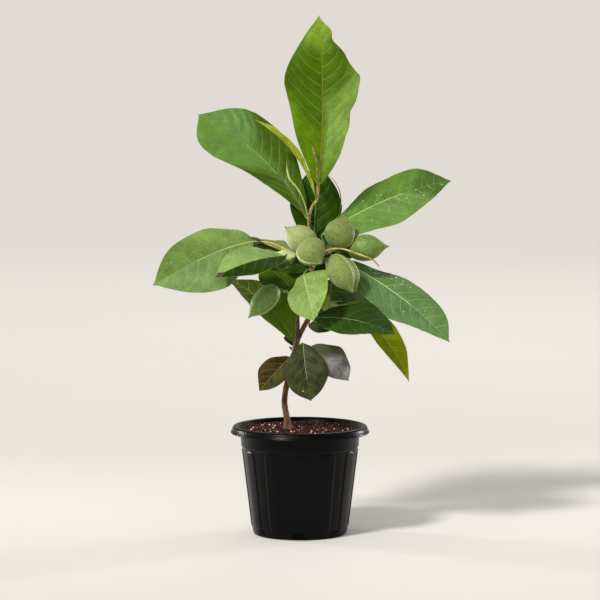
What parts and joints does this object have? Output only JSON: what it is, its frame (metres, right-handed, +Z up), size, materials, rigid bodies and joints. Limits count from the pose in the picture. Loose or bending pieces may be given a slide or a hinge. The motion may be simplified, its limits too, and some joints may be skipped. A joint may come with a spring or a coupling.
{
  "type": "potted fruit tree",
  "caption": "Young broad-leaved fruit tree on one slender leaning stem, with a cluster of velvety green pointed fruit, growing in a ribbed black nursery pot.",
  "frame": {"origin": "middle of the pot's flat underside", "axes": "+Z up along the plant, -Y towards the viewer of the picture, +X to the viewer's right"},
  "size_m": [0.3484, 0.2464, 0.6065],
  "materials": {
    "pot_plastic": "satin moulded black plastic",
    "potting_mix": "loose bark chips and coir with white grit",
    "bark": "smooth young bark with small pores",
    "young_leaf": "glossy bright green leaf",
    "leaf": "glossy green leaf with paler veins",
    "dark_leaf": "glossy dark leaf with bronze tints",
    "fruit": "velvety pale green skin"
  },
  "bodies": {
    "root": {"pot": "pot_plastic", "soil": "potting_mix", "trunk": "bark", "side_bough": "bark", "top_shoot": "young_leaf", "right_leaves": "leaf", "left_leaves": "leaf", "low_left_leaves": "leaf", "low_right_leaves": "dark_leaf", "back_leaves": "leaf", "front_sprig": "dark_leaf", "back_sprig": "leaf", "front_fruit": "fruit"}
  },
  "joints": []
}
